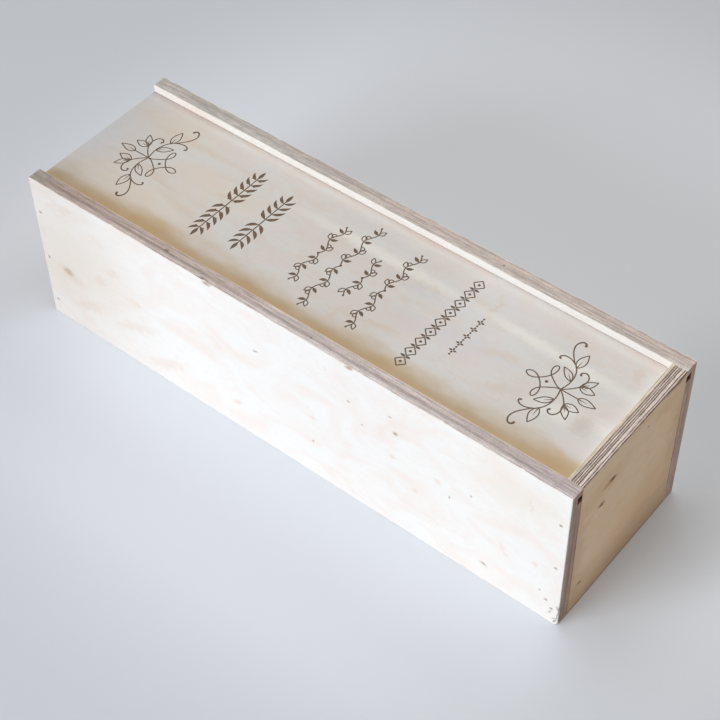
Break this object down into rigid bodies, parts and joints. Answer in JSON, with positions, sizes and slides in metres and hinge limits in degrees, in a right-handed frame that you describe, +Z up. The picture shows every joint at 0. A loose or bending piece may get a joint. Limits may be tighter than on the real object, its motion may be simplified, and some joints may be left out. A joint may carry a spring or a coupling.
{
  "type": "wooden wine box",
  "caption": "Long, narrow plywood box for a bottle, closed by a thin flat lid that slides out lengthways in grooves below the rim.",
  "frame": {"origin": "middle of the base, on the surface that the box stands on", "axes": "+X along the box towards the tall, fixed end, so the lid slides out towards -X; -Y is the front; +Z is up"},
  "size_m": [0.362, 0.11, 0.106],
  "materials": {
    "side_ply": "bare birch plywood, sanded",
    "end_ply": "bare birch plywood, sanded",
    "bottom_ply": "bare birch plywood, sanded",
    "lid_ply": "bare birch plywood, sanded, with burnt-in ornament",
    "brad_steel": "dull steel wire"
  },
  "bodies": {
    "box": {"front_board": "side_ply", "back_board": "side_ply", "tall_end_board": "end_ply", "low_end_board": "end_ply", "bottom_panel": "bottom_ply", "front_tall_end_brads": "brad_steel", "front_low_end_brads": "brad_steel", "back_tall_end_brads": "brad_steel", "back_low_end_brads": "brad_steel"},
    "lid": {"sliding_lid": "lid_ply"}
  },
  "joints": [
    {"name": "lid_slide", "type": "slide", "parent": "box", "child": "lid", "axis": [-1, 0, 0], "range_m": [0, 0.3527]}
  ]
}
